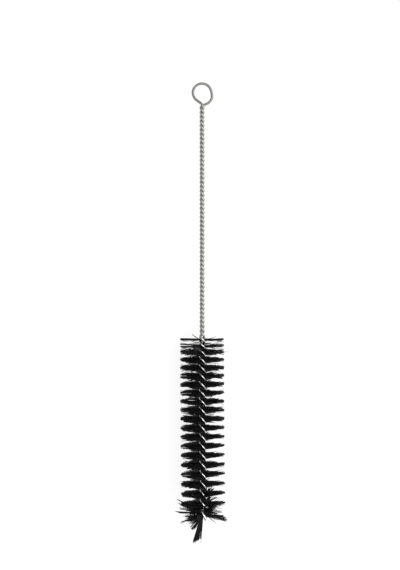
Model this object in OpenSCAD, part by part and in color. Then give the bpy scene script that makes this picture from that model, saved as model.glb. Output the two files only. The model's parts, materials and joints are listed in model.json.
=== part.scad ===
// Bottle brush: one steel wire, folded at a hanging eye and twisted on itself, with nylon
// bristles gripped between its two legs. Millimetres, +Z up. The brush lies on the rim of
// its bristles and on its eye, with the eye towards +Y.

/* [Wire] */
// Diameter of the wire
wire_d = 1.7; // [1.4:0.05:1.8]
// Twisted length from the eye down to the first bristles
handle_l = 154; // [110:1:200]
// Length of one turn of the twist in the handle
handle_pitch = 5.76; // [5.4:0.02:8]
// Length over which the twist loosens on its way into the head
loosen_l = 24; // [18:1:32]
// Degrees that the legs are turned at the top of the twist, where they cross below the eye
start_turn = 74; // [60:1:77]

/* [Eye] */
// Inside diameter of the eye
eye_d = 10.4; // [9.6:0.1:12.4]
// Height of the eye's centre above the top of the twist
eye_rise = 8.4; // [8:0.1:11]
// Length of the straight side that runs from the eye to its bent heel
heel_l = 5.4; // [4.6:0.1:5.8]

/* [Head] */
// Diameter across the bristle tips
head_d = 29.4; // [22:0.2:40]
// Length of wire that carries bristles
head_l = 118; // [80:1:150]
// Length of one turn of the twist at the top of the head
head_pitch = 10.7; // [9:0.1:13]
// Length of one turn of the twist at the end of the wire
end_pitch = 13.7; // [11:0.1:16]
// Space between the two legs that grips the bristles
grip = 0.9; // [0.8:0.02:1.2]

/* [Bristles] */
// Step along the wire from one pinch of filaments to the next
pinch_step = 0.33; // [0.28:0.01:0.6]
// Free space along the wire between two pinches
pinch_gap = 0.06; // [0.04:0.01:0.1]

/* [Tip tuft] */
// Length of the longest filaments past the end of the wire
tuft_l = 18; // [12:0.5:24]
// Thickness of each bunch in the tuft
tuft_t = 0.3; // [0.2:0.02:0.5]
// Width of the widest bunch at its end
bunch_w = 1.6; // [1:0.1:2]

/* [Hidden] */

STEEL = [0.76, 0.77, 0.78];
NYLON = [0.07, 0.07, 0.075];

// Sides of the wire's cross-section, and degrees of twist between two cross-sections
WIRE_SIDES = 8;
TWIST_STEP = 45;

wire_r = wire_d / 2;
wire_l = handle_l + head_l;
eye_r = (eye_d + wire_d) / 2;
eye_centre = [0, 0, eye_rise];

// Distance of each leg from the axis, in the handle and in the head
handle_leg_r = wire_r * 1.1;
head_leg_r = wire_r + grip / 2;
opening_l = 0.38 * head_pitch;

// A pinch of filaments lies between the legs with a little room on each side
pinch_w = 0.62 * grip;
pinch_t = pinch_step - pinch_gap;

// Twist rates in degrees a millimetre, at distances down from the top of the twist
KNOTS = [
    [0, 360 / handle_pitch],
    [handle_l - loosen_l / 2, 360 / handle_pitch],
    [handle_l + loosen_l / 2, 360 / head_pitch],
    [wire_l, 360 / end_pitch],
];

function knot_slope(k) = (KNOTS[k + 1][1] - KNOTS[k][1]) / (KNOTS[k + 1][0] - KNOTS[k][0]);
function span_twist(k, u) = u * KNOTS[k][1] + u * u * knot_slope(k) / 2;
function knot_twist(k) =
    k == 0 ? start_turn : knot_twist(k - 1) + span_twist(k - 1, KNOTS[k][0] - KNOTS[k - 1][0]);

// Degrees of twist at a distance down the wire, and the distance at a twist
function twist(s) =
    let (k = s < KNOTS[1][0] ? 0 : s < KNOTS[2][0] ? 1 : 2)
    knot_twist(k) + span_twist(k, s - KNOTS[k][0]);
function twist_at(a) =
    let (k = a < knot_twist(1) ? 0 : a < knot_twist(2) ? 1 : 2)
    let (rest = a - knot_twist(k), rate = KNOTS[k][1])
    KNOTS[k][0] + 2 * rest / (rate + sqrt(rate * rate + 2 * rest * knot_slope(k)));

// Centre of one leg at a distance down the wire; side is 0 on the right, 180 on the left
function ease(u) = let (v = max(0, min(1, u))) v * v * (3 - 2 * v);
function leg_r(s) =
    handle_leg_r + (head_leg_r - handle_leg_r) * ease((s - handle_l) / opening_l + 1);
function leg(s, side) =
    let (a = twist(s) + side)
    [leg_r(s) * cos(a), leg_r(s) * sin(a), -s];

// The legs from their second step down, with the last cross-section at the wire's cut end
leg_stops = concat(
    [for (a = start_turn + TWIST_STEP; a < twist(wire_l) - TWIST_STEP / 3; a = a + TWIST_STEP)
        twist_at(a)],
    [wire_l]);

// The eye: an arc in the X-Z plane, a straight run to the left leg, a bent heel on the right.
// Below it the left leg crosses in front of the right one, a little past the axis.
function on_eye(a) = eye_centre + eye_r * [cos(a), 0, sin(a)];
left_top = wire_d * [0.35, -0.62, 0.2];
right_top = wire_d * [0.17, 0.6, 0];
left_reach = left_top - eye_centre;
left_leave = atan2(left_reach.z, left_reach.x) + 360
    - acos(eye_r / norm([left_reach.x, left_reach.z]));
right_leave = -6;
heel = on_eye(right_leave) + heel_l * [sin(right_leave), 0, -cos(right_leave)];
EYE_ARC_STEPS = 18;

function unit(v) = v / norm(v);
function towards(from, to, l) = from + l * unit(to - from);
// Rounded bend at a corner, from one point to another
BEND_STEPS = 4;
function bend(from, corner, to) = [
    for (i = [0 : BEND_STEPS - 1])
    let (u = i / BEND_STEPS)
    (1 - u) * (1 - u) * from + 2 * u * (1 - u) * corner + u * u * to
];
bend_reach = 1.25 * wire_d;
first_stop = leg_stops[0];
eye_path = concat(
    bend(leg(first_stop, 180), left_top, towards(left_top, on_eye(left_leave), bend_reach)),
    [towards(left_top, on_eye(left_leave), bend_reach)],
    [for (i = [0 : EYE_ARC_STEPS])
        on_eye(left_leave + (right_leave - left_leave) * i / EYE_ARC_STEPS)],
    bend(towards(heel, on_eye(right_leave), bend_reach), heel,
         towards(heel, right_top, bend_reach)),
    bend(towards(heel, right_top, bend_reach), (heel + right_top) / 2,
         towards(right_top, heel, bend_reach)),
    bend(towards(right_top, heel, bend_reach), right_top, leg(first_stop, 0)));
wire_path = concat(
    [for (i = [len(leg_stops) - 1 : -1 : 1]) leg(leg_stops[i], 180)],
    eye_path,
    [for (s = leg_stops) leg(s, 0)]);

// Direction along a path, and a side direction carried along it without twisting
function along(p, i) = unit(p[min(i + 1, len(p) - 1)] - p[max(i - 1, 0)]);
function square_to(v, t) = unit(v - (v * t) * t);
function carried_sides(p) = [
    for (i = 0, v = square_to([1, 0, 0], along(p, 0));
         i < len(p);
         i = i + 1, v = square_to(v, along(p, min(i, len(p) - 1))))
    v
];

// Resting tilt: the eye and the first bristles that point straight down touch the surface
head_r = head_d / 2;
rest_s = twist_at(180 * ceil(twist(handle_l) / 180));
rest_reach = rest_s + eye_rise + eye_r;
rest_tilt = acos(wire_r / norm([head_r, rest_reach])) - atan2(rest_reach, head_r);
rest_z = wire_r + (eye_rise + eye_r) * sin(rest_tilt);
rest_y = (wire_l + tuft_l - eye_rise - eye_r - wire_r) / 2 * cos(rest_tilt);

// Bunches of the tip tuft: swing from straight down (left is below zero), lean to the
// front, share of the longest length, and share of the greatest end width
BUNCHES = [
    [-17, 3, 0.92, 0.9],
    [-12, -2, 1, 1],
    [-7, 4, 0.9, 0.9],
    [-45, 6, 0.58, 0.7],
    [-70, -4, 0.86, 0.5],
    [-81, 6, 0.8, 0.6],
    [-90, -2, 0.94, 0.5],
    [77, -5, 0.82, 0.6],
    [85, 4, 0.9, 0.6],
];
tuft_drop = 0.27 * wire_d;

// The brush stands upright in its own frame, eye up and front to -Y, and is laid down here
module laid() {
    translate([0, rest_y, rest_z])
        rotate([-90 - rest_tilt, 0, 0])
            children();
}

// A rod of round section along a path, closed at both ends
module rod(path, r, sides) {
    n = len(path);
    side_dirs = carried_sides(path);
    points = [
        for (i = [0 : n - 1])
        let (u = side_dirs[i], v = cross(along(path, i), u))
        for (j = [0 : sides - 1])
        path[i] + r * (cos(360 * j / sides) * u + sin(360 * j / sides) * v)
    ];
    walls = [
        for (i = [0 : n - 2], j = [0 : sides - 1])
        let (k = (j + 1) % sides, a = i * sides, b = a + sides)
        each [[a + j, b + j, b + k], [a + j, b + k, a + k]]
    ];
    start_cap = [for (j = [0 : sides - 1]) j];
    end_cap = [for (j = [sides - 1 : -1 : 0]) (n - 1) * sides + j];
    polyhedron(points, concat(walls, [start_cap, end_cap]), convexity = 10);
}

// One wire: the twisted legs of the handle and the head, and the eye between them
module twisted_wire() {
    color(STEEL) laid() rod(wire_path, wire_r, WIRE_SIDES);
}

// Pinches of filaments that cross between the legs and turn with the twist
module bristle_spiral() {
    color(NYLON) laid()
        for (s = [handle_l + pinch_step / 2 : pinch_step : wire_l - 3 * tuft_drop])
            translate([0, 0, -s])
                rotate([0, 0, twist(s) + 90])
                    cube([head_d, pinch_w, pinch_t], center = true);
}

// A flat bunch of filaments that widens from its root to its end
module bunch(l, root_w, end_w) {
    rotate([-90, 0, 0])
        linear_extrude(height = tuft_t, center = true)
            polygon([[-root_w / 2, 0], [root_w / 2, 0], [end_w / 2, l], [-end_w / 2, l]]);
}

// The last filaments, gripped in the end of the wire and bent down past it
module tip_tuft() {
    root_h = 2 * tuft_drop;
    color(NYLON) laid()
        translate([0, 0, -wire_l]) {
            rotate([0, 0, twist(wire_l) + 90])
                cube([2 * pinch_w, pinch_w, root_h], center = true);
            for (b = BUNCHES)
                translate([0, 0, -tuft_drop])
                    rotate([b[1], -b[0], 0])
                        bunch(b[2] * tuft_l, pinch_w, b[3] * bunch_w);
        }
}

twisted_wire();
bristle_spiral();
tip_tuft();
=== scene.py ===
"""Looks of a bottle brush: one bright wire, folded at an eye and twisted, with nylon bristles.

The brush lies on the floor with its eye towards +Y. Each piece is built along the brush's own
axis: s runs down from the top of the twist, below the eye, to the cut end of the wire.
"""

import json
import math
import random

import bmesh
import bpy
from bpy.props import FloatProperty, FloatVectorProperty, IntProperty, PointerProperty
from mathutils import Matrix, Vector


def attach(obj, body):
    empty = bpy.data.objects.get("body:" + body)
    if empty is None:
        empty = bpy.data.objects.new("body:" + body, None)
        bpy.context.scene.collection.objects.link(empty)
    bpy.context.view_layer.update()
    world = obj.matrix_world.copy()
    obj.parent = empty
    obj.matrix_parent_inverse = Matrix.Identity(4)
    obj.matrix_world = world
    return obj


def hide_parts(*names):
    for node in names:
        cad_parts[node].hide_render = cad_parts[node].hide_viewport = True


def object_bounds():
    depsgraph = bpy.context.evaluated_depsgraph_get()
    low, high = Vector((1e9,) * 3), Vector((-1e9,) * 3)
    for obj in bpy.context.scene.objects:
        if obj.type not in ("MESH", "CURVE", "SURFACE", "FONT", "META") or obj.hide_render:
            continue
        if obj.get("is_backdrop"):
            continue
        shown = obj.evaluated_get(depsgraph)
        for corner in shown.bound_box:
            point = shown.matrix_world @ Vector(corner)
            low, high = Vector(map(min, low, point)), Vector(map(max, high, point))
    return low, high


bl_info = {
    "name": "Bottle Brush",
    "version": (1, 0, 0),
    "blender": (4, 5, 0),
    "location": "View3D > Sidebar > Brush",
    "description": "Builds the twisted wire, the bristles and the tip tuft of a bottle brush",
    "category": "Add Mesh",
}

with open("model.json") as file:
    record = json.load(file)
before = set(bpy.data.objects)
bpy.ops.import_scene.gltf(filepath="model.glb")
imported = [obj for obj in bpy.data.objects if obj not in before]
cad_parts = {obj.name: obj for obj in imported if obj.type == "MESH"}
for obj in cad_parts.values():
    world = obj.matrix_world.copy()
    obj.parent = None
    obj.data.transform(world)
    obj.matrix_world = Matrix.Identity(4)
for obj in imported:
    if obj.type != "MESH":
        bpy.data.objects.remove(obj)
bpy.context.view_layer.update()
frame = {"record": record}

MM = 0.001
EYE = next(m for m in frame["record"]["mounts"] if m["name"] == "hang_eye")
EYE_CENTRE = Vector(EYE["pos_m"])
# The brush seen from above: its right, the side that faces up, and the way to the eye
RIGHT = Vector((1, 0, 0))
FRONT = Vector(EYE["axis"]).normalized()
UP = FRONT.cross(RIGHT)


class BRUSH_PG_wire(bpy.types.PropertyGroup):
    """Sizes and colours of the folded wire."""

    diameter: FloatProperty(
        name="Wire diameter", description="Diameter of the wire",
        default=EYE["dims"]["length_mm"] * MM, unit="LENGTH", precision=5)
    eye_inside: FloatProperty(
        name="Eye inside radius", description="Inside radius of the hanging eye",
        default=EYE["dims"]["r_mm"] * MM, unit="LENGTH", precision=5)
    eye_rise: FloatProperty(
        name="Eye rise", description="From the top of the twist to the eye's centre",
        default=8.4 * MM, unit="LENGTH", precision=5)
    eye_side: FloatProperty(
        name="Eye side", description="From the eye's arc to the corner its right side bends about",
        default=4.8 * MM, unit="LENGTH", precision=5)
    stub: FloatProperty(
        name="Stub", description="Length by which the right leg is cut longer than the left",
        default=1.9 * MM, unit="LENGTH", precision=5)
    handle: FloatProperty(
        name="Handle length", description="Twisted length above the bristles",
        default=154 * MM, unit="LENGTH", precision=5)
    head: FloatProperty(
        name="Head length", description="Length of wire that carries bristles",
        default=118 * MM, unit="LENGTH", precision=5)
    handle_pitch: FloatProperty(
        name="Handle pitch", description="Length of one turn in the handle",
        default=5.76 * MM, unit="LENGTH", precision=5)
    head_pitch: FloatProperty(
        name="Head pitch", description="Length of one turn at the top of the head",
        default=10.7 * MM, unit="LENGTH", precision=5)
    end_pitch: FloatProperty(
        name="End pitch", description="Length of one turn at the wire's end",
        default=13.7 * MM, unit="LENGTH", precision=5)
    loosen: FloatProperty(
        name="Loosening", description="Length over which the twist loosens into the head",
        default=24 * MM, unit="LENGTH", precision=5)
    start_turn: FloatProperty(
        name="Start turn", description="Turn of the legs where they cross below the eye",
        default=math.radians(74), subtype="ANGLE")
    grip: FloatProperty(
        name="Grip", description="Space between the legs that holds the bristles",
        default=0.9 * MM, unit="LENGTH", precision=5)
    bow: FloatProperty(
        name="Bow", description="How far the end of the wire is bent to the right",
        default=0.9 * MM, unit="LENGTH", precision=5)
    colour: FloatVectorProperty(
        name="Steel", description="Colour of the wire along the handle",
        default=(0.58, 0.573, 0.54), subtype="COLOR", min=0, max=1)
    # Painted shade: the same steel as the handle, drawn darker round the eye
    eye_shade_colour: FloatVectorProperty(
        name="Eye steel", description="Colour of the wire round the eye, where it is dullest",
        default=(0.37, 0.368, 0.348), subtype="COLOR", min=0, max=1)
    # Painted highlight: the same steel drawn brighter between the bristles, so that its glints
    # show white
    head_highlight_colour: FloatVectorProperty(
        name="Head steel", description="Colour of the wire between the bristles",
        default=(0.94, 0.935, 0.92), subtype="COLOR", min=0, max=1)


class BRUSH_PG_bristles(bpy.types.PropertyGroup):
    """Sizes and colour of the filaments and of the head that they make."""

    head_radius: FloatProperty(
        name="Head radius", description="From the axis to the cut ends of the bristles",
        default=14.7 * MM, unit="LENGTH", precision=5)
    diameter: FloatProperty(
        name="Filament diameter", description="Diameter of one nylon filament",
        default=0.26 * MM, unit="LENGTH", precision=5)
    count: IntProperty(
        name="Filaments", description="Filaments along the head, fewer where it is left thin",
        default=3900)
    tuft_length: FloatProperty(
        name="Tuft length", description="Longest filaments past the end of the wire",
        default=18 * MM, unit="LENGTH", precision=5)
    colour: FloatVectorProperty(
        name="Nylon", description="Colour of the black nylon",
        default=(0.006, 0.0065, 0.0063), subtype="COLOR", min=0, max=1)


class BRUSH_PG_stage(bpy.types.PropertyGroup):
    """View and floor."""

    frame_height: FloatProperty(
        name="Frame height", description="Height of the view at the brush",
        default=376.6 * MM, unit="LENGTH")
    below_eye: FloatProperty(
        name="View centre", description="From the eye's centre down to the middle of the view",
        default=127 * MM, unit="LENGTH")
    beside: FloatProperty(
        name="View offset", description="From the brush's axis to the middle of the view",
        default=-1.4 * MM, unit="LENGTH")
    lens: FloatProperty(
        name="Lens", description="Focal length", default=200, unit="CAMERA")
    floor: FloatVectorProperty(
        name="Floor", description="Colour of the floor",
        default=(0.22, 0.22, 0.22), subtype="COLOR", min=0, max=1)


class Twist:
    """Turn of the wire's legs about the axis, whose rate changes evenly from knot to knot."""

    def __init__(self, wire):
        self.knots = [
            (0, math.tau / wire.handle_pitch),
            (wire.handle - wire.loosen / 2, math.tau / wire.handle_pitch),
            (wire.handle + wire.loosen / 2, math.tau / wire.head_pitch),
            (wire.handle + wire.head, math.tau / wire.end_pitch),
        ]
        self.starts = [wire.start_turn]
        for (low, rate), (high, next_rate) in zip(self.knots, self.knots[1:]):
            self.starts.append(self.starts[-1] + (high - low) * (rate + next_rate) / 2)

    def slope(self, k):
        """Change of the twist's rate along span k."""
        (low, rate), (high, next_rate) = self.knots[k], self.knots[k + 1]
        return (next_rate - rate) / (high - low)

    def angle(self, s):
        """Turn of the legs at distance s down the wire."""
        k = 0 if s < self.knots[1][0] else 1 if s < self.knots[2][0] else 2
        u = s - self.knots[k][0]
        return self.starts[k] + u * self.knots[k][1] + u * u * self.slope(k) / 2

    def distance(self, angle):
        """Distance down the wire at which the legs have turned by an angle."""
        k = 0 if angle < self.starts[1] else 1 if angle < self.starts[2] else 2
        rest, rate = angle - self.starts[k], self.knots[k][1]
        return self.knots[k][0] + 2 * rest / (
            rate + math.sqrt(rate * rate + 2 * rest * self.slope(k)))


def ease(u):
    """Smooth step from 0 to 1."""
    v = min(1, max(0, u))
    return v * v * (3 - 2 * v)


def curve(start, corner, end, u):
    """Point of a rounded corner at u, from 0 at its start to 1 at its end."""
    return (1 - u) ** 2 * start + 2 * u * (1 - u) * corner + u * u * end


def on_axis(wire, s):
    """Point of the brush's axis at distance s below the top of the twist."""
    bent = max(0, (s - wire.handle) / wire.head) ** 2
    return EYE_CENTRE - UP * (wire.eye_rise + s) + RIGHT * wire.bow * bent


def outward(angle):
    """Direction square to the axis; 0 is the right, and a quarter turn is the back."""
    return RIGHT * math.cos(angle) - FRONT * math.sin(angle)


# Distance of the handle's legs from the axis in wire radii, and the share of a turn in which they
# open to the grip
LEG_ROOM = 1.02
OPENING_TURN = 0.38


def leg_point(wire, twist, s, side):
    """Centre of one leg of the wire, side 0 for the right leg and pi for the left one."""
    thin = wire.diameter / 2 * LEG_ROOM
    wide = (wire.diameter + wire.grip) / 2
    opening = OPENING_TURN * wire.head_pitch
    radius = thin + (wide - thin) * ease((s - wire.handle) / opening + 1)
    return on_axis(wire, s) + outward(twist.angle(s) + side) * radius


# Turn of the legs from one ring of the wire to the next, and rings round the eye and in a bend
TWIST_STEP = math.radians(18)
EYE_STEPS = 48
BEND_STEPS = 8
# Reach of a bend to each side, and the corners of the left and the right leg where they cross
# below the eye: to the right, to the front and up. All in wire diameters
BEND_REACH = 1.25
LEFT_CROSSING = (0.35, 0.62, 0.2)
RIGHT_CROSSING = (0.17, -0.6, 0)
# Where the eye's arc passes into its right side, and the heel, right of the eye's centre and
# below it
SIDE_LEAVES = math.radians(20)
HEEL = (4.8 * MM, 6.7 * MM)


def bend(start, corner, end):
    """Points of a rounded corner, without its end."""
    return [curve(start, corner, end, i / BEND_STEPS) for i in range(BEND_STEPS)]


def towards(start, end, length):
    """Point a given length from start on the way to end."""
    return start + (end - start).normalized() * length


def wire_path(wire, twist):
    """Centre line of the wire, from the left leg's cut end round the eye to the right one's."""
    length = wire.handle + wire.head + wire.stub
    steps = int((twist.angle(length) - wire.start_turn) / TWIST_STEP)
    right_stops = [twist.distance(wire.start_turn + TWIST_STEP * i) for i in range(2, steps)]
    right_stops.append(length)
    left_stops = [s for s in right_stops if s < length - wire.stub]
    radius = wire.eye_inside + wire.diameter / 2
    reach = BEND_REACH * wire.diameter

    def on_eye(angle):
        return EYE_CENTRE + (RIGHT * math.cos(angle) + UP * math.sin(angle)) * radius

    def crossing(right, front, up):
        return on_axis(wire, 0) + (RIGHT * right + FRONT * front + UP * up) * wire.diameter

    left, right = crossing(*LEFT_CROSSING), crossing(*RIGHT_CROSSING)
    down, beside = (left - EYE_CENTRE).dot(UP), (left - EYE_CENTRE).dot(RIGHT)
    leave = (math.atan2(down, beside) + math.tau
             - math.acos(radius / math.hypot(down, beside)))
    corner = (on_eye(SIDE_LEAVES) + wire.eye_side
              * (RIGHT * math.sin(SIDE_LEAVES) - UP * math.cos(SIDE_LEAVES)))
    heel = EYE_CENTRE + RIGHT * HEEL[0] - UP * HEEL[1]
    left_in = towards(left, on_eye(leave), reach)
    heel_in = towards(heel, corner, reach)
    heel_out = towards(heel, right, reach)
    right_in = towards(right, heel, reach)
    arc = [on_eye(leave + (SIDE_LEAVES - leave) * i / EYE_STEPS) for i in range(EYE_STEPS)]
    return ([leg_point(wire, twist, s, math.pi) for s in reversed(left_stops)]
            + bend(leg_point(wire, twist, left_stops[0], math.pi), left, left_in)[1:]
            + [left_in] + arc
            + bend(on_eye(SIDE_LEAVES), corner, heel_in)
            + bend(heel_in, heel, heel_out)
            + [heel_out]
            + bend(right_in, right, leg_point(wire, twist, right_stops[0], 0))
            + [leg_point(wire, twist, s, 0) for s in right_stops])


def path_frames(path):
    """Matrices along a path, Z along it, turned no more about it than its bends need."""
    frames = []
    side = None
    for i, point in enumerate(path):
        along = (path[min(i + 1, len(path) - 1)] - path[max(i - 1, 0)]).normalized()
        side = along.orthogonal() if side is None else side
        side = (side - along * side.dot(along)).normalized()
        frames.append(Matrix.Translation(point)
                      @ Matrix((side, along.cross(side), along)).transposed().to_4x4())
    return frames


def extrude_rod(bm, frames, radius, sides):
    """Draws a closed round rod through frames by extruding a disc, and gives back its rings."""
    bmesh.ops.create_circle(bm, cap_ends=True, segments=sides, radius=radius, matrix=frames[0])
    rings = [list(bm.verts)]
    edges = list(bm.edges)
    for before, here in zip(frames, frames[1:]):
        made = bmesh.ops.extrude_edge_only(bm, edges=edges)["geom"]
        ring = [g for g in made if isinstance(g, bmesh.types.BMVert)]
        edges = [g for g in made if isinstance(g, bmesh.types.BMEdge)
                 and all(v in ring for v in g.verts)]
        bmesh.ops.transform(bm, matrix=here @ before.inverted(), verts=ring)
        rings.append(ring)
    bmesh.ops.edgeloop_fill(bm, edges=edges)
    bmesh.ops.recalc_face_normals(bm, faces=bm.faces)
    # A thin rod can come out inside out, and its volume is then below zero
    if bm.calc_volume(signed=True) < 0:
        bmesh.ops.reverse_faces(bm, faces=bm.faces)
    return rings


# What the wire's mesh carries: each point's place before the wire was bent
STRAIGHT = "straight"


def bend_wire(bm, path, radius, sides):
    """Draws the wire along a path, and keeps each point's place on the straight wire."""
    straight = bm.verts.layers.float_vector.new(STRAIGHT)
    frames = path_frames(path)
    rings = extrude_rod(bm, frames, radius, sides)
    run = 0
    for i, (ring, here) in enumerate(zip(rings, frames)):
        run += (path[i] - path[max(0, i - 1)]).length
        back = here.inverted()
        for v in ring:
            local = back @ v.co
            v[straight] = (local.x, local.y, run)


FILAMENT_SIDES = 5
FILAMENT_SPANS = 8
# What the filaments' meshes carry: the place along a filament, from 0 to 1, and its own shade
ALONG = "along"
TINT = "tint"


def filament_template(radius):
    """A straight filament with its rings one metre apart, to be copied and laid."""
    bm = bmesh.new()
    frames = [Matrix.Translation((0, 0, i)) for i in range(FILAMENT_SPANS + 1)]
    extrude_rod(bm, frames, radius, FILAMENT_SIDES)
    mesh = bpy.data.meshes.new("filament")
    bm.to_mesh(mesh)
    bm.free()
    return mesh


def lay_filaments(bm, radius, laid):
    """Copies a straight filament for each laid path and tint, and bends it along the path."""
    template = filament_template(radius)
    size = len(template.vertices)
    places = [(v.co.x, v.co.y, round(v.co.z)) for v in template.vertices]
    for _ in laid:
        bm.from_mesh(template)
    bpy.data.meshes.remove(template)
    along = bm.verts.layers.float.new(ALONG)
    tint = bm.verts.layers.float.new(TINT)
    verts = list(bm.verts)
    for i, (path, shade) in enumerate(laid):
        frames = path_frames(path)
        for v, (x, y, ring) in zip(verts[i * size:(i + 1) * size], places):
            v.co = frames[ring] @ Vector((x, y, 0))
            v[along] = ring / FILAMENT_SPANS
            v[tint] = shade
    bm.normal_update()


def add_piece(name, bm, material, node):
    """Turns a bmesh into a piece of the brush that stands for a CAD node."""
    # Faces of a round side have four corners, and the flat ends have more
    for face in bm.faces:
        face.smooth = len(face.verts) == 4
    mesh = bpy.data.meshes.new(name)
    bm.to_mesh(mesh)
    bm.free()
    mesh.materials.append(material)
    piece = bpy.data.objects.new(name, mesh)
    bpy.context.scene.collection.objects.link(piece)
    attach(piece, "root")
    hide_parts(node)


class Socket:
    """An output in a shader; sums and products with it add Math nodes."""

    def __init__(self, finish, output):
        self.finish = finish
        self.output = output

    def math(self, operation, first, second):
        """Adds one Math node on two values."""
        return self.finish.node("ShaderNodeMath", {"operation": operation}, {0: first, 1: second})

    def __add__(self, other):
        return self.math("ADD", self, other)

    def __sub__(self, other):
        return self.math("SUBTRACT", self, other)

    def __rsub__(self, other):
        return self.math("SUBTRACT", other, self)

    def __mul__(self, other):
        return self.math("MULTIPLY", self, other)

    def __pow__(self, other):
        return self.math("POWER", self, other)

    __radd__ = __add__
    __rmul__ = __mul__


class Finish:
    """A node tree that is built node by node."""

    def __init__(self, tree):
        self.tree = tree
        tree.nodes.clear()

    def node(self, kind, settings, sockets, output=0):
        """Adds a node: its settings first, then values or links for its sockets."""
        node = self.tree.nodes.new(kind)
        for name, value in settings.items():
            setattr(node, name, value)
        for name, value in sockets.items():
            if isinstance(value, Socket):
                self.tree.links.new(value.output, node.inputs[name])
            else:
                node.inputs[name].default_value = value
        return Socket(self, node.outputs[output]) if node.outputs else None

    def attribute(self, name, output):
        """A value that the piece's mesh carries."""
        return self.node("ShaderNodeAttribute", {"attribute_name": name}, {}, output)

    def fade(self, y, reach):
        """A value that rises from 0 to 1 on the way down the brush, about a place along it."""
        place = self.node("ShaderNodeTexCoord", {}, {}, "Object")
        return self.node(
            "ShaderNodeMapRange", {"interpolation_type": "SMOOTHSTEP"},
            {"Value": self.node("ShaderNodeSeparateXYZ", {}, {0: place}, "Y"),
             "From Min": y + reach, "From Max": y - reach})

    def noise(self, place, scale, detail):
        """A fine uneven pattern of values about a half."""
        return self.node(
            "ShaderNodeTexNoise", {}, {"Vector": place, "Scale": scale, "Detail": detail})

    def mix(self, factor, first, second):
        """A colour between two colours."""
        settings = {"data_type": "RGBA"}
        return self.node("ShaderNodeMix", settings, {0: factor, 6: first, 7: second}, 2)


def material_finish(name):
    """A new material and its empty node tree."""
    material = bpy.data.materials.new(name)
    material.use_nodes = True
    return material, Finish(material.node_tree)


def rgba(colour, level=1):
    """A colour with its alpha, made lighter or darker by a level."""
    return (*(c * level for c in colour), 1)


# Length to each side of the eye's foot and of the head's top over which the wire's tone changes
TONE_FADE = 4 * MM
# Drawn lines and dull spots of the wire: scales of their patterns to the metre, the lines' share
# of the tone, the tone of a dull place, and the depth and strength of the lines
LINE_SCALE = (9000, 9000, 90)
SPOT_SCALE = 400
LINE_SHARE = 0.6
DULL = 0.8
LINE_DEPTH = 0.02 * MM
LINE_STRENGTH = 0.12
# Roughness of the wire: the least on the handle, what lines and spots add, and how much less it
# is between the bristles
WIRE_ROUGHNESS = 0.5
LINE_ROUGHNESS = 0.12
SPOT_ROUGHNESS = 0.08
CLEAN_GLOSS = 0.35


def bright_wire(wire):
    """Drawn steel with fine lines along it and dull spots, darker round the eye with painted
    shade, and glossier between the bristles, where a painted highlight also makes it brighter."""
    material, finish = material_finish("bright_wire")
    place = finish.attribute(STRAIGHT, "Vector")
    stretched = finish.node(
        "ShaderNodeVectorMath", {"operation": "MULTIPLY"}, {0: place, 1: LINE_SCALE})
    lines = finish.noise(stretched, scale=1, detail=3)
    spots = finish.noise(place, scale=SPOT_SCALE, detail=2)
    # Painted shade: the wire's colour is darker above the eye's foot, round the eye, and plain
    # below it
    below_eye_shade = finish.fade(on_axis(wire, 0).y, TONE_FADE)
    # Rises into the head: lowers the wire's roughness there, and brightens its colour as a painted
    # highlight
    head_gloss_and_highlight = finish.fade(on_axis(wire, wire.handle).y, TONE_FADE)
    colour = finish.mix(
        head_gloss_and_highlight, finish.mix(below_eye_shade, rgba(wire.eye_shade_colour), rgba(wire.colour)),
        rgba(wire.head_highlight_colour))
    dull = finish.node("ShaderNodeVectorMath", {"operation": "SCALE"}, {0: colour, "Scale": DULL})
    tone = finish.mix(lines * LINE_SHARE + spots * (1 - LINE_SHARE), dull, colour)
    roughness = (lines * LINE_ROUGHNESS + spots * SPOT_ROUGHNESS + WIRE_ROUGHNESS
                 - head_gloss_and_highlight * CLEAN_GLOSS)
    bump = finish.node("ShaderNodeBump", {}, {
        "Strength": LINE_STRENGTH, "Distance": LINE_DEPTH, "Height": lines})
    shader = finish.node("ShaderNodeBsdfPrincipled", {}, {
        "Base Color": tone, "Metallic": 1, "Roughness": roughness, "Normal": bump})
    finish.node("ShaderNodeOutputMaterial", {}, {"Surface": shader})
    return material


# Shades of the nylon, darkest and palest, the part of them that differs from filament to
# filament, and how near its end a filament turns greyer
DARKEST = 0.7
PALEST = 2
TINT_SHARE = 0.7
END_POWER = 12
# Roughness of the nylon, its grain to the metre and what that adds, and its weak sheen
NYLON_ROUGHNESS = 0.4
GRAIN_SCALE = 900
GRAIN_ROUGHNESS = 0.16
NYLON_SPECULAR = 0.2


def black_nylon(colour):
    """Nylon filament: each its own shade, a little greyer where its end is cut."""
    name = "black_nylon"
    if name in bpy.data.materials:
        return bpy.data.materials[name]
    material, finish = material_finish(name)
    tint = finish.attribute(TINT, "Fac")
    along = finish.attribute(ALONG, "Fac")
    place = finish.node("ShaderNodeTexCoord", {}, {}, "Object")
    grain = finish.noise(place, scale=GRAIN_SCALE, detail=2)
    # 0 at the middle of a filament and 1 at its ends
    from_middle = (along - 0.5) * (along - 0.5) * 4
    cut_end = from_middle ** END_POWER
    tone = finish.mix(
        tint * TINT_SHARE + cut_end * (1 - TINT_SHARE),
        rgba(colour, DARKEST), rgba(colour, PALEST))
    shader = finish.node("ShaderNodeBsdfPrincipled", {}, {
        "Base Color": tone, "Roughness": NYLON_ROUGHNESS + grain * GRAIN_ROUGHNESS,
        "Specular IOR Level": NYLON_SPECULAR})
    finish.node("ShaderNodeOutputMaterial", {}, {"Surface": shader})
    return material


WIRE_SIDES = 14


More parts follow.
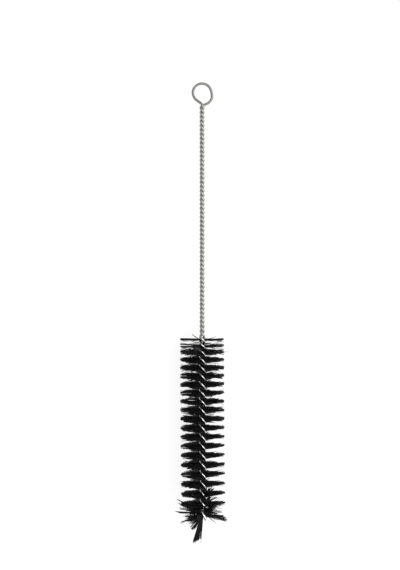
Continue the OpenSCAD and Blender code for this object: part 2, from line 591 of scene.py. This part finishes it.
class BRUSH_OT_twisted_wire(bpy.types.Operator):
    """Folds the wire at its eye and twists its two legs together"""

    bl_idname = "brush.twisted_wire"
    bl_label = "Twisted wire"

    def execute(self, context):
        wire = context.scene.brush_wire
        bm = bmesh.new()
        bend_wire(bm, wire_path(wire, Twist(wire)), wire.diameter / 2, WIRE_SIDES)
        add_piece("wire", bm, bright_wire(wire), "twisted_wire")
        return {"FINISHED"}


BRISTLE_PIECES = ("upper_bristles", "middle_bristles", "lower_bristles")
HALF_SPANS = FILAMENT_SPANS // 2
BRISTLE_SEED = 11
# Share of a half filament that leaves the wire straight
ROOT_SHARE = 0.3
# Neighbours in a clump stray together, round the axis and along it
CLUMP = 6
CLUMP_SPREAD = math.radians(2)
CLUMP_RISE = 0.5 * MM
# Each filament strays a little by itself, the few fuzzy ones more, and its ends are trimmed
SPREAD = math.radians(1.7)
RISE = 0.14 * MM
ROOT_RISE = 0.25 * MM
FUZZ = 3
FUZZ_POWER = 4
END_TRIM = 0.22 * MM
TRIM_SPREAD = 1.2
# Strays, how loose each row may be, and how frayed the rows are at the top and at the end
STRAY_SHARE = 0.05
STRAY = 3.2
RAGGED = (0.6, 1.4)
FRAYED = (1.4, 0.65)
# Lift of the rows' right ends, which grows down the head
LIFT = 1.1 * MM
# The first rows' looseness and uneven length, and the thin growth below the first
FIRST_ROW = 0.75
FIRST_TRIM = 1.6 * MM
FIRST_TRIM_POWER = 2
THIN_FROM = 1.1 * MM
THIN_TO = 4.2 * MM
THIN_SHARE = 0.2
# The ruffled length near the end and how much looser it gets, and the length at the end that is
# left to the tuft
RUFFLED = 18 * MM
RUFFLE = 0.8
LOOSE_END = 6.5 * MM
# Length near the end whose rows are gathered to narrow leaves on the left, the stretch in which
# that sets in, and how much
GATHERED = 24 * MM
GATHER_FADE = 6.5 * MM
GATHER = 0.25
# Hairs that stand out: distance down the head, angle in degrees, rise and reach
LOOSE_HAIRS = (
    (0.6 * MM, 180, 3.6 * MM, 6.8 * MM),
    (0.7 * MM, 180, 3.4 * MM, 6.2 * MM),
    (0.5 * MM, 180, 2.2 * MM, 4.8 * MM),
    (0.6 * MM, 0, 1.9 * MM, 9.1 * MM),
    (0.5 * MM, 0, 1.5 * MM, 8.3 * MM),
    (8.9 * MM, 0, 0.1 * MM, 17.8 * MM),
)


def filament_path(start, corner, end):
    """Points of a whole filament that is gripped at one end."""
    return [curve(start, corner, end, i / FILAMENT_SPANS) for i in range(FILAMENT_SPANS + 1)]


def half_bristle(start, angle, reach, spread, rise, root_rise):
    """Points of one half of a filament, from near the axis to its cut end."""
    corner = start + outward(angle) * reach * ROOT_SHARE + UP * root_rise
    end = start + outward(angle + spread) * reach + UP * rise
    return [curve(start, corner, end, i / HALF_SPANS) for i in range(1, HALF_SPANS + 1)]


def row_rise(twist, s, angle, lift, gather):
    """Rise of a filament's end: lifted on the right, drawn to its row's middle on the left."""
    right = math.cos(angle)
    if right > 0:
        return lift * right
    past_left = (angle + math.pi) % math.tau
    past_left -= math.tau if past_left > math.pi else 0
    return gather * (twist.distance(twist.angle(s) + past_left) - s) if gather else 0


def row_looseness(wire, ragged, down):
    """How loose a row with a ragged share of its own is, at a distance down the head."""
    frayed = FRAYED[0] + (FRAYED[1] - FRAYED[0]) * down / wire.head
    return ragged * frayed * (1 + RUFFLE * ease((down - wire.head) / RUFFLED + 1))


def bristle_filaments(wire, bristles):
    """Path and tint of each filament that is gripped along the head, from its top down."""
    twist = Twist(wire)
    rng = random.Random(BRISTLE_SEED)
    rows = int(twist.angle(wire.handle + wire.head) / math.pi) + 1
    ragged = [rng.uniform(*RAGGED) for _ in range(rows)]
    laid = []
    for i in range(bristles.count):
        if i % CLUMP == 0:
            clump = [(rng.gauss(0, CLUMP_SPREAD), rng.uniform(-1, 1) * CLUMP_RISE)
                     for _ in range(2)]
        down = (wire.head - LOOSE_END) * (i + rng.random()) / bristles.count
        if THIN_FROM < down < THIN_TO and rng.random() > THIN_SHARE:
            continue
        s = wire.handle + down
        loose = row_looseness(wire, ragged[int(twist.angle(s) / math.pi)], down)
        trim = END_TRIM
        if down < THIN_TO:
            loose *= FIRST_ROW
            trim = FIRST_TRIM * rng.random() ** FIRST_TRIM_POWER
        if rng.random() < STRAY_SHARE:
            loose *= STRAY
        shift = rng.uniform(-0.5, 0.5) * (wire.grip - bristles.diameter)
        across = twist.angle(s) + math.pi / 2
        lift = LIFT * down / wire.head
        gather = GATHER * ease((down - wire.head + GATHERED) / GATHER_FADE)
        fuzz = 1 + FUZZ * rng.random() ** FUZZ_POWER
        start = on_axis(wire, s) + outward(across + math.pi / 2) * shift
        halves = [
            half_bristle(
                start, across + side,
                bristles.head_radius - abs(rng.gauss(0, TRIM_SPREAD)) * trim,
                loose * (spread + fuzz * rng.gauss(0, SPREAD)),
                loose * (rise + fuzz * rng.gauss(0, RISE))
                + row_rise(twist, s, across + side, lift, gather),
                rng.uniform(-1, 1) * ROOT_RISE)
            for side, (spread, rise) in zip((0, math.pi), clump)]
        laid.append((halves[0][::-1] + [start] + halves[1], rng.random()))
    for down, angle, rise, reach in LOOSE_HAIRS:
        start = on_axis(wire, wire.handle + down)
        out = outward(math.radians(angle)) * reach
        path = filament_path(start, start + out / 2, start + out + UP * rise)
        laid.append((path, rng.random()))
    return laid


class BRUSH_OT_bristle_spiral(bpy.types.Operator):
    """Lays the filaments between the legs, so that they turn with the twist"""

    bl_idname = "brush.bristle_spiral"
    bl_label = "Bristles"

    def execute(self, context):
        bristles = context.scene.brush_bristles
        laid = bristle_filaments(context.scene.brush_wire, bristles)
        material = black_nylon(bristles.colour)
        share = math.ceil(len(laid) / len(BRISTLE_PIECES))
        for k, name in enumerate(BRISTLE_PIECES):
            bm = bmesh.new()
            lay_filaments(bm, bristles.diameter / 2, laid[k * share:(k + 1) * share])
            add_piece(name, bm, material, "bristle_spiral")
        return {"FINISHED"}


# Bunches of the tip tuft: filaments, grip beside the axis and above the wire's end in
# millimetres, swing from straight down (left is below zero) and lean to the front in degrees,
# share of the longest length, scatter in degrees, and width of the band in millimetres
BUNCHES = (
    (90, -1.1, 0.3, -12, 0, 1.0, 1.0, 4.4),
    (2, -0.3, 0.3, -4.5, 0, 1.0, 0.5, 0.2),
    (34, -0.8, 1.0, -36, 8, 0.64, 5, 2.4),
    (9, 0, 1.5, -71, 0, 0.9, 1.2, 0.5),
    (8, 0, 1.8, -86, 4, 0.76, 1.2, 0.5),
    (14, 0, 2.5, -93, 0, 1.02, 0.8, 0.7),
    (6, 0, 2.5, -102, 6, 0.98, 1, 0.4),
    (10, 0, 2.2, -112, 4, 1.06, 0.8, 0.5),
    (9, 0, 2.5, -118, 0, 1.12, 0.8, 0.5),
    (70, -0.5, 1.5, -76, 46, 0.74, 12, 1.5),
    (70, -0.5, 2, -66, 42, 0.7, 15, 1.5),
    (70, -0.5, 5, -95, 42, 0.72, 15, 1.5),
    (30, 0, 6, -100, 15, 0.84, 8, 1.0),
    (54, 0, 1.4, 81, -4, 0.9, 3, 2.6),
    (30, 1.0, 3, 84, 60, 0.72, 14, 1.0),
    (40, 0.5, 5, 95, 62, 0.76, 14, 1.0),
    (20, 3.5, 7, 90, 78, 0.8, 6, 3.0),
    (10, 1.0, 13, 170, 58, 0.77, 1.5, 0.5),
    (10, 1.0, 13, 157, 58, 0.82, 1.5, 0.5),
    (10, 1.0, 13, 148, 58, 0.89, 1.5, 0.5),
    (10, 1.0, 13, 140, 58, 0.98, 1.5, 0.5),
    (34, 1.4, 9.5, 146, 66, 0.74, 4, 1.6),
    (14, 1.5, 9, 125, 58, 0.9, 5, 0.8),
    (60, 0, 4, 90, -45, 0.8, 25, 1.0),
    (60, 0, 4, -90, -45, 0.8, 25, 1.0),
    (34, 0.3, 5.7, 25, 75, 0.5, 10, 0.8),
)
TUFT_SEED = 23
# Scatter of the grips in millimetres, how much shorter a band's right edge is, the uneven trim,
# and where a filament bends: its share of the length and of the band's width
GRIP_SPREAD = 0.5
TUFT_SLANT = 0.22
TUFT_TRIM = 0.02
TUFT_BEND = (0.45, 0.1)


def tuft_filaments(wire, bristles):
    """Path and tint of each filament in the tuft, bunch by bunch."""
    rng = random.Random(TUFT_SEED)
    laid = []
    for count, aside, grip, swing, lean, share, scatter, width in BUNCHES:
        for _ in range(count):
            side = math.radians(swing + rng.gauss(0, scatter))
            tip = math.radians(lean + rng.gauss(0, scatter))
            ways = (RIGHT * math.sin(side) - UP * math.cos(side)) * math.cos(tip)
            ways += FRONT * math.sin(tip)
            place = rng.uniform(-0.5, 0.5)
            beside = (RIGHT * math.cos(side) + UP * math.sin(side)) * place * width * MM
            length = bristles.tuft_length * share * (
                1 - TUFT_SLANT * (place + 0.5) + rng.gauss(0, TUFT_TRIM))
            above = max(0, grip + rng.uniform(-1, 1) * GRIP_SPREAD)
            start = on_axis(wire, wire.handle + wire.head - above * MM)
            start += RIGHT * aside * MM + beside / 2
            corner = start + ways * length * TUFT_BEND[0] + beside * TUFT_BEND[1]
            end = start + ways * length + beside / 2
            laid.append((filament_path(start, corner, end), rng.random()))
    return laid


class BRUSH_OT_tip_tuft(bpy.types.Operator):
    """Bends the last filaments down past the wire's cut end"""

    bl_idname = "brush.tip_tuft"
    bl_label = "Tip tuft"

    def execute(self, context):
        bristles = context.scene.brush_bristles
        laid = tuft_filaments(context.scene.brush_wire, bristles)
        bm = bmesh.new()
        lay_filaments(bm, bristles.diameter / 2, laid)
        add_piece("loose_tuft", bm, black_nylon(bristles.colour), "tip_tuft")
        return {"FINISHED"}


BLACK = (0, 0, 0, 1)
WHITE = (1, 1, 1, 1)
# Height of the camera's sensor in millimetres
SENSOR = 36
# Side of the floor in metres, its room below the brush, and what it adds where it is looked at
FLOOR_SIZE = 4
FLOOR_GAP = 0.05 * MM
FLOOR_GLOW = 0.85
# The room's grey, and the lamp's place and size in metres and its power in watts
ROOM_GREY = (0.2, 0.2, 0.2)
KEY_PLACE = (0.85, -0.2, 1.6)
KEY_SIZE = 3.0
KEY_POWER = 62


def floor_finish(colour):
    """Plain floor that the camera and mirrors see as white, with the brush's shadow."""
    material, finish = material_finish("pale_floor")
    path = [finish.node("ShaderNodeLightPath", {}, {}, name) for name in (
        "Is Camera Ray", "Is Glossy Ray", "Is Transmission Ray")]
    plain = finish.node("ShaderNodeBsdfDiffuse", {}, {"Color": rgba(colour)})
    seen = finish.mix(path[0] + path[1] + path[2], BLACK, WHITE)
    glow = finish.node("ShaderNodeEmission", {}, {"Color": seen, "Strength": FLOOR_GLOW})
    both = finish.node("ShaderNodeAddShader", {}, {0: plain, 1: glow})
    finish.node("ShaderNodeOutputMaterial", {}, {"Surface": both})
    return material


def add_floor(scene, colour):
    """A square floor just below the lowest filament."""
    bm = bmesh.new()
    bmesh.ops.create_grid(bm, x_segments=1, y_segments=1, size=FLOOR_SIZE / 2)
    bmesh.ops.translate(bm, verts=bm.verts, vec=(0, 0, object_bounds()[0][2] - FLOOR_GAP))
    mesh = bpy.data.meshes.new("floor")
    bm.to_mesh(mesh)
    bm.free()
    mesh.materials.append(floor_finish(colour))
    floor = bpy.data.objects.new("floor", mesh)
    scene.collection.objects.link(floor)
    floor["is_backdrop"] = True


def add_light(scene):
    """A grey room, and one soft square lamp that faces the middle of the brush."""
    world = bpy.data.worlds.new("soft_room")
    world.use_nodes = True
    finish = Finish(world.node_tree)
    room = finish.node("ShaderNodeBackground", {}, {"Color": rgba(ROOM_GREY), "Strength": 1})
    finish.node("ShaderNodeOutputWorld", {}, {"Surface": room})
    scene.world = world
    lamp = bpy.data.lights.new("key", "AREA")
    lamp.shape = "SQUARE"
    lamp.size = KEY_SIZE
    lamp.energy = KEY_POWER
    light = bpy.data.objects.new("key", lamp)
    light.location = KEY_PLACE
    light.rotation_euler = (-Vector(KEY_PLACE)).to_track_quat("-Z", "Y").to_euler()
    scene.collection.objects.link(light)


def add_camera(scene, stage, wire):
    """A camera square to the brush's front."""
    camera = bpy.data.cameras.new("camera")
    camera.sensor_fit = "VERTICAL"
    camera.sensor_height = SENSOR
    camera.lens = stage.lens
    viewer = bpy.data.objects.new("camera", camera)
    middle = on_axis(wire, stage.below_eye - wire.eye_rise) + RIGHT * stage.beside
    away = stage.frame_height * stage.lens / SENSOR
    viewer.matrix_world = (Matrix.Translation(middle + FRONT * away)
                           @ Matrix((RIGHT, UP, FRONT)).transposed().to_4x4())
    scene.collection.objects.link(viewer)
    scene.camera = viewer


class BRUSH_OT_stage(bpy.types.Operator):
    """Sets the floor, the light and the camera"""

    bl_idname = "brush.stage"
    bl_label = "Stage"

    def execute(self, context):
        scene = context.scene
        add_floor(scene, scene.brush_stage.floor)
        add_light(scene)
        add_camera(scene, scene.brush_stage, scene.brush_wire)
        scene.view_settings.view_transform = "Standard"
        return {"FINISHED"}


STEPS = (BRUSH_OT_twisted_wire, BRUSH_OT_bristle_spiral, BRUSH_OT_tip_tuft, BRUSH_OT_stage)


class BRUSH_PT_panel(bpy.types.Panel):
    """Lists the steps that build the brush, and its settings"""

    bl_idname = "BRUSH_PT_panel"
    bl_label = "Bottle Brush"
    bl_space_type = "VIEW_3D"
    bl_region_type = "UI"
    bl_category = "Brush"

    def draw(self, context):
        for step in STEPS:
            self.layout.operator(step.bl_idname)
        for group in ("brush_wire", "brush_bristles", "brush_stage"):
            settings = getattr(context.scene, group)
            for name in settings.__annotations__:
                self.layout.prop(settings, name)


CLASSES = (BRUSH_PG_wire, BRUSH_PG_bristles, BRUSH_PG_stage, *STEPS, BRUSH_PT_panel)


def register():
    """Makes the settings, the operators and the panel known."""
    for each in CLASSES:
        bpy.utils.register_class(each)
    bpy.types.Scene.brush_wire = PointerProperty(type=BRUSH_PG_wire)
    bpy.types.Scene.brush_bristles = PointerProperty(type=BRUSH_PG_bristles)
    bpy.types.Scene.brush_stage = PointerProperty(type=BRUSH_PG_stage)


def unregister():
    """Takes them away again."""
    del bpy.types.Scene.brush_stage
    del bpy.types.Scene.brush_bristles
    del bpy.types.Scene.brush_wire
    for each in reversed(CLASSES):
        bpy.utils.unregister_class(each)


def main():
    """Builds the brush on its stage."""
    register()
    bpy.ops.brush.twisted_wire()
    bpy.ops.brush.bristle_spiral()
    bpy.ops.brush.tip_tuft()
    bpy.ops.brush.stage()


if __name__ == "__main__":
    main()
